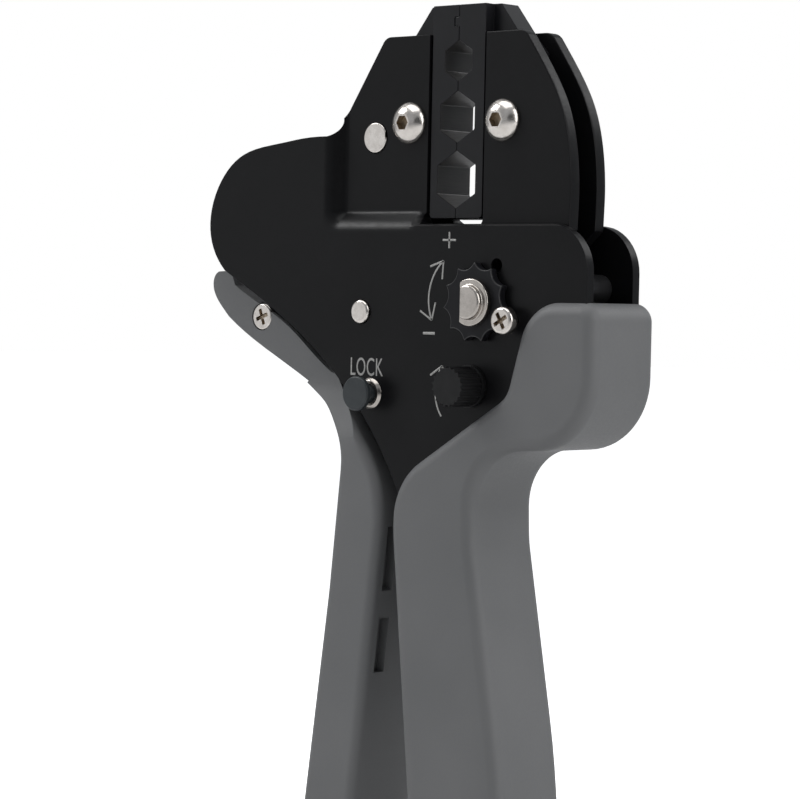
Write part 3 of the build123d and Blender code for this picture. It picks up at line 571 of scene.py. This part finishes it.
def dress_controls():
    eased_copy("release_knob", "knob", width=0.13)
    wheel = eased_copy("adjusting_wheel", "wheel", width=0.20, weld=0.15)
    wear_rims(wheel, width=0.2)
    eased_copy("lock_button", "button", width=0.40, segments=3)
    sloped_collar()
    eased_copy("jaw_pivot_pin", "pin", width=0.22, segments=3, held_back=False)
    eased_copy("handle_pivot_pin", "nickel", width=0.10)
    eased_copy("jaw_spacer_rivet", "nickel", width=0.10, cutter=small_block(*rivet_nick))


def dress_grips():
    for node in ("fixed_grip", "moving_grip"):
        eased_copy(node, "grip", width=0.6, segments=3)


def dress_inner_works():
    for node, width in (("lever_plate_front", 0.2), ("lever_plate_rear", 0.2), ("ratchet_sector", 0.12),
                        ("sector_rivets", 0.15), ("tang_rivets", 0.2), ("link_pin_handle", 0.15),
                        ("link_pin_jaw", 0.15), ("toggle_link", 0.2), ("ratchet_pawl", 0.12),
                        ("knob_shaft", 0.12), ("pivot_pin_clip", 0.06), ("opening_stop_pin", 0.15)):
        eased_copy(node, "oiled", width)
    for node in ("return_spring", "pawl_spring"):
        eased_copy(node, "wire", width=0)


def dress_nodes():
    dress_plates()
    dress_dies()
    dress_screws()
    dress_controls()
    dress_grips()
    dress_inner_works()


# Printed marks on the front plate


def socket_named(tree, name):
    """Identifier of a node group's input, which a modifier sets its value by"""
    for item in tree.interface.items_tree:
        if item.name == name and item.in_out == "INPUT":
            return item.identifier
    raise ValueError(name)


def printed_line_tree():
    """Node group that turns a flat path into a printed line of even width"""
    tree = bpy.data.node_groups.new("printed_line", "GeometryNodeTree")
    tree.interface.new_socket("Geometry", in_out="INPUT", socket_type="NodeSocketGeometry")
    for name in ("Width", "Thickness"):
        tree.interface.new_socket(name, in_out="INPUT", socket_type="NodeSocketFloat")
    tree.interface.new_socket("Geometry", in_out="OUTPUT", socket_type="NodeSocketGeometry")
    given = tree.nodes.new("NodeGroupInput")
    upright = add_node(tree, "GeometryNodeSetCurveNormal", {"Curve": given.outputs["Geometry"]}, mode="Z_UP")
    section = add_node(tree, "GeometryNodeCurvePrimitiveQuadrilateral",
                       {"Width": given.outputs["Width"], "Height": given.outputs["Thickness"]})
    line = add_node(tree, "GeometryNodeCurveToMesh",
                    {"Curve": upright.outputs["Curve"], "Profile Curve": section.outputs["Curve"],
                     "Fill Caps": True})
    whole = add_node(tree, "GeometryNodeRealizeInstances", {"Geometry": line.outputs["Mesh"]})
    inked = add_node(tree, "GeometryNodeSetMaterial",
                     {"Geometry": whole.outputs["Geometry"], "Material": finishes["print"]})
    add_node(tree, "NodeGroupOutput", {"Geometry": inked.outputs["Geometry"]})
    return tree


print_thickness = 0.03
line_tree = printed_line_tree()


def arc_points(start, middle, end):
    """Points along the circle through three points, in the order given"""
    steps = 24
    ax, az = start
    bx, bz = middle
    cx, cz = end
    aa = ax ** 2 + az ** 2
    bb = bx ** 2 + bz ** 2
    cc = cx ** 2 + cz ** 2
    d = 2 * (ax * (bz - cz) + bx * (cz - az) + cx * (az - bz))
    ux = (aa * (bz - cz) + bb * (cz - az) + cc * (az - bz)) / d
    uz = (aa * (cx - bx) + bb * (ax - cx) + cc * (bx - ax)) / d
    radius = math.dist((ux, uz), start)
    first = math.atan2(az - uz, ax - ux)
    turn = math.atan2(cz - uz, cx - ux) - first
    by_middle = math.atan2(bz - uz, bx - ux) - first
    turn %= 2 * math.pi
    if by_middle % (2 * math.pi) > turn:
        turn -= 2 * math.pi
    angles = [first + turn * i / steps for i in range(steps + 1)]
    return [(ux + radius * math.cos(angle), uz + radius * math.sin(angle)) for angle in angles]


def onto_plate(mesh):
    """Stands a flat drawing up on the front face of the frame plate"""
    lift = plate_face_y - print_thickness / 2
    mesh.transform(Matrix(((MM, 0, 0, 0), (0, 0, -MM, lift * MM), (0, MM, 0, 0), (0, 0, 0, 1))))


def printed_lines(name, strokes, width):
    """One printed mark made of several strokes, each a list of points"""
    path = bpy.data.curves.new(name + "_path", "CURVE")
    path.dimensions = "3D"
    for points in strokes:
        spline = path.splines.new("POLY")
        spline.points.add(len(points) - 1)
        for point, (x, z) in zip(spline.points, points):
            point.co = (x, z, 0, 1)
    drawn = bpy.data.objects.new(name + "_path", path)
    bpy.context.scene.collection.objects.link(drawn)
    modifier = drawn.modifiers.new("line", "NODES")
    modifier.node_group = line_tree
    modifier[socket_named(line_tree, "Width")] = width
    modifier[socket_named(line_tree, "Thickness")] = print_thickness
    bpy.context.view_layer.update()
    shown = drawn.evaluated_get(bpy.context.evaluated_depsgraph_get())
    mesh = bpy.data.meshes.new_from_object(shown)
    bpy.data.objects.remove(drawn)
    onto_plate(mesh)
    ride_print(name, mesh)


def ride_print(name, mesh):
    mark = new_piece(name, mesh, "print")
    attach(mark, "frame")


def arrow_head(tip, toward_angle, length, opening):
    """Two strokes that meet at a tip and open backwards from its direction"""
    sides = []
    for side in (-1, 1):
        angle = math.radians(toward_angle + 180 + side * opening)
        sides.append([tip, (tip[0] + length * math.cos(angle), tip[1] + length * math.sin(angle))])
    return sides


def print_marks():
    stroke = 0.36
    printed_lines("plus_mark", [[(-0.3, -22.9), (2.9, -22.9)], [(1.3, -24.4), (1.3, -21.4)]], width=0.38)
    printed_lines("minus_mark", [[(-4.7, -40.2), (-1.8, -40.2)]], width=0.5)
    top, middle, bottom = (0.0, -26.75), (-3.3, -32.1), (-2.6, -37.75)
    turn_arrow = [arc_points(top, middle, bottom)]
    turn_arrow += arrow_head(top, toward_angle=52, length=3.4, opening=34)
    turn_arrow += arrow_head(bottom, toward_angle=-67, length=3.4, opening=37)
    printed_lines("wheel_turn_arrow", turn_arrow, width=stroke)
    tail, bulge, tip = (0.2, -55.5), (-1.3, -51.9), (0.2, -46.15)
    release_arrow = [arc_points(tail, bulge, tip)]
    release_arrow += arrow_head(tip, toward_angle=75, length=3.4, opening=43)
    printed_lines("release_arrow", release_arrow, width=stroke)


def print_lock_word():
    """Plain switch label over the lock button"""
    words = bpy.data.curves.new("lock_word", "FONT")
    words.body = "LOCK"
    words.extrude = 0.001
    words.space_character = 1.06
    label = bpy.data.objects.new("lock_word_path", words)
    bpy.context.scene.collection.objects.link(label)
    bpy.context.view_layer.update()
    mesh = bpy.data.meshes.new_from_object(label.evaluated_get(bpy.context.evaluated_depsgraph_get()))
    bpy.data.objects.remove(label)
    left, right, low, high = -22.9, -14.6, -48.6, -45.2
    xs = [v.co.x for v in mesh.vertices]
    ys = [v.co.y for v in mesh.vertices]
    across = (right - left) / (max(xs) - min(xs))
    upward = (high - low) / (max(ys) - min(ys))
    for vertex in mesh.vertices:
        vertex.co.x = left + (vertex.co.x - min(xs)) * across
        vertex.co.y = low + (vertex.co.y - min(ys)) * upward
        vertex.co.z = math.copysign(print_thickness / 2, vertex.co.z)
    onto_plate(mesh)
    ride_print("lock_word", mesh)


# Surroundings


def pale_floor():
    """White ground that gives light back, and shows itself bright to the camera alone"""
    low = cad_box[0][2]
    span = 6.0
    mesh = bpy.data.meshes.new("pale_floor")
    corners = [(-span, -span, low), (span, -span, low), (span, span, low), (-span, span, low)]
    mesh.from_pydata(corners, [], [(0, 1, 2, 3)])
    floor = bpy.data.objects.new("pale_floor", mesh)
    bpy.context.scene.collection.objects.link(floor)
    material = bpy.data.materials.new("pale_floor")
    material.use_nodes = True
    tree = material.node_tree
    shader = tree.nodes["Principled BSDF"]
    shader.inputs["Base Color"].default_value = (0.80, 0.80, 0.80, 1)
    shader.inputs["Roughness"].default_value = 0.9
    shader.inputs["Specular IOR Level"].default_value = 0.1
    rays = tree.nodes.new("ShaderNodeLightPath")
    glow = add_node(tree, "ShaderNodeEmission", {"Strength": 0.8})
    quiet = add_node(tree, "ShaderNodeEmission", {"Strength": 0.0})
    chosen = add_node(tree, "ShaderNodeMixShader",
                      {0: rays.outputs["Is Camera Ray"], 1: quiet.outputs[0], 2: glow.outputs[0]})
    both = tree.nodes.new("ShaderNodeAddShader")
    tree.links.new(shader.outputs[0], both.inputs[0])
    tree.links.new(chosen.outputs[0], both.inputs[1])
    tree.links.new(both.outputs[0], tree.nodes["Material Output"].inputs["Surface"])
    mesh.materials.append(material)


def studio_world():
    """Even pale light all round, with the darker side of the room to the right of the front"""
    world = bpy.data.worlds.new("studio")
    bpy.context.scene.world = world
    world.use_nodes = True
    tree = world.node_tree
    background = tree.nodes["Background"]
    background.inputs["Color"].default_value = (0.93, 0.96, 1.0, 1)
    way = tree.nodes.new("ShaderNodeTexCoord").outputs["Generated"]
    dark_azimuth = math.radians(52)
    dark_side = (math.sin(dark_azimuth), -math.cos(dark_azimuth), 0)
    toward = add_node(tree, "ShaderNodeVectorMath", {0: way, 1: dark_side}, operation="DOT_PRODUCT")
    level = add_node(tree, "ShaderNodeMapRange",
                     {"Value": toward.outputs["Value"], "From Min": 0.81, "From Max": 0.91,
                      "To Min": 0.39, "To Max": 0.06})
    tree.links.new(level.outputs["Result"], background.inputs["Strength"])
    white = add_node(tree, "ShaderNodeBackground", {"Color": (1, 1, 1, 1), "Strength": 1.0})
    rays = tree.nodes.new("ShaderNodeLightPath")
    seen = add_node(tree, "ShaderNodeMixShader",
                    {0: rays.outputs["Is Camera Ray"], 1: background.outputs[0], 2: white.outputs[0]})
    tree.links.new(seen.outputs[0], tree.nodes["World Output"].inputs["Surface"])


def soft_lamp(name, place, aim, size, power):
    data = bpy.data.lights.new(name, "AREA")
    data.shape = "RECTANGLE"
    data.size, data.size_y = size
    data.energy = power
    lamp = bpy.data.objects.new(name, data)
    toward = Vector(aim) - Vector(place)
    lamp.rotation_euler = toward.to_track_quat("-Z", "Y").to_euler()
    lamp.location = place
    bpy.context.scene.collection.objects.link(lamp)


def studio_lamps():
    aim = (0, 0, -0.05)
    soft_lamp("sheet_left", (-0.74, -0.82, 0.0), aim, size=(0.9, 0.8), power=0.9)
    soft_lamp("sheet_high_left", (-0.77, -0.47, 0.68), aim, size=(0.5, 0.4), power=5.2)
    soft_lamp("sheet_right", (0.90, 0.0, 0.36), aim, size=(0.5, 1.0), power=4.8)
    soft_lamp("sheet_top", (-0.1, -0.15, 1.0), aim, size=(1.0, 0.8), power=4.5)
    soft_lamp("sheet_back_right", (0.41, 0.86, 0.62), aim, size=(0.5, 0.5), power=2.4)


bpy.context.scene.view_settings.view_transform = "Standard"
place_camera()
studio_world()
studio_lamps()
pale_floor()
dress_nodes()
print_marks()
print_lock_word()
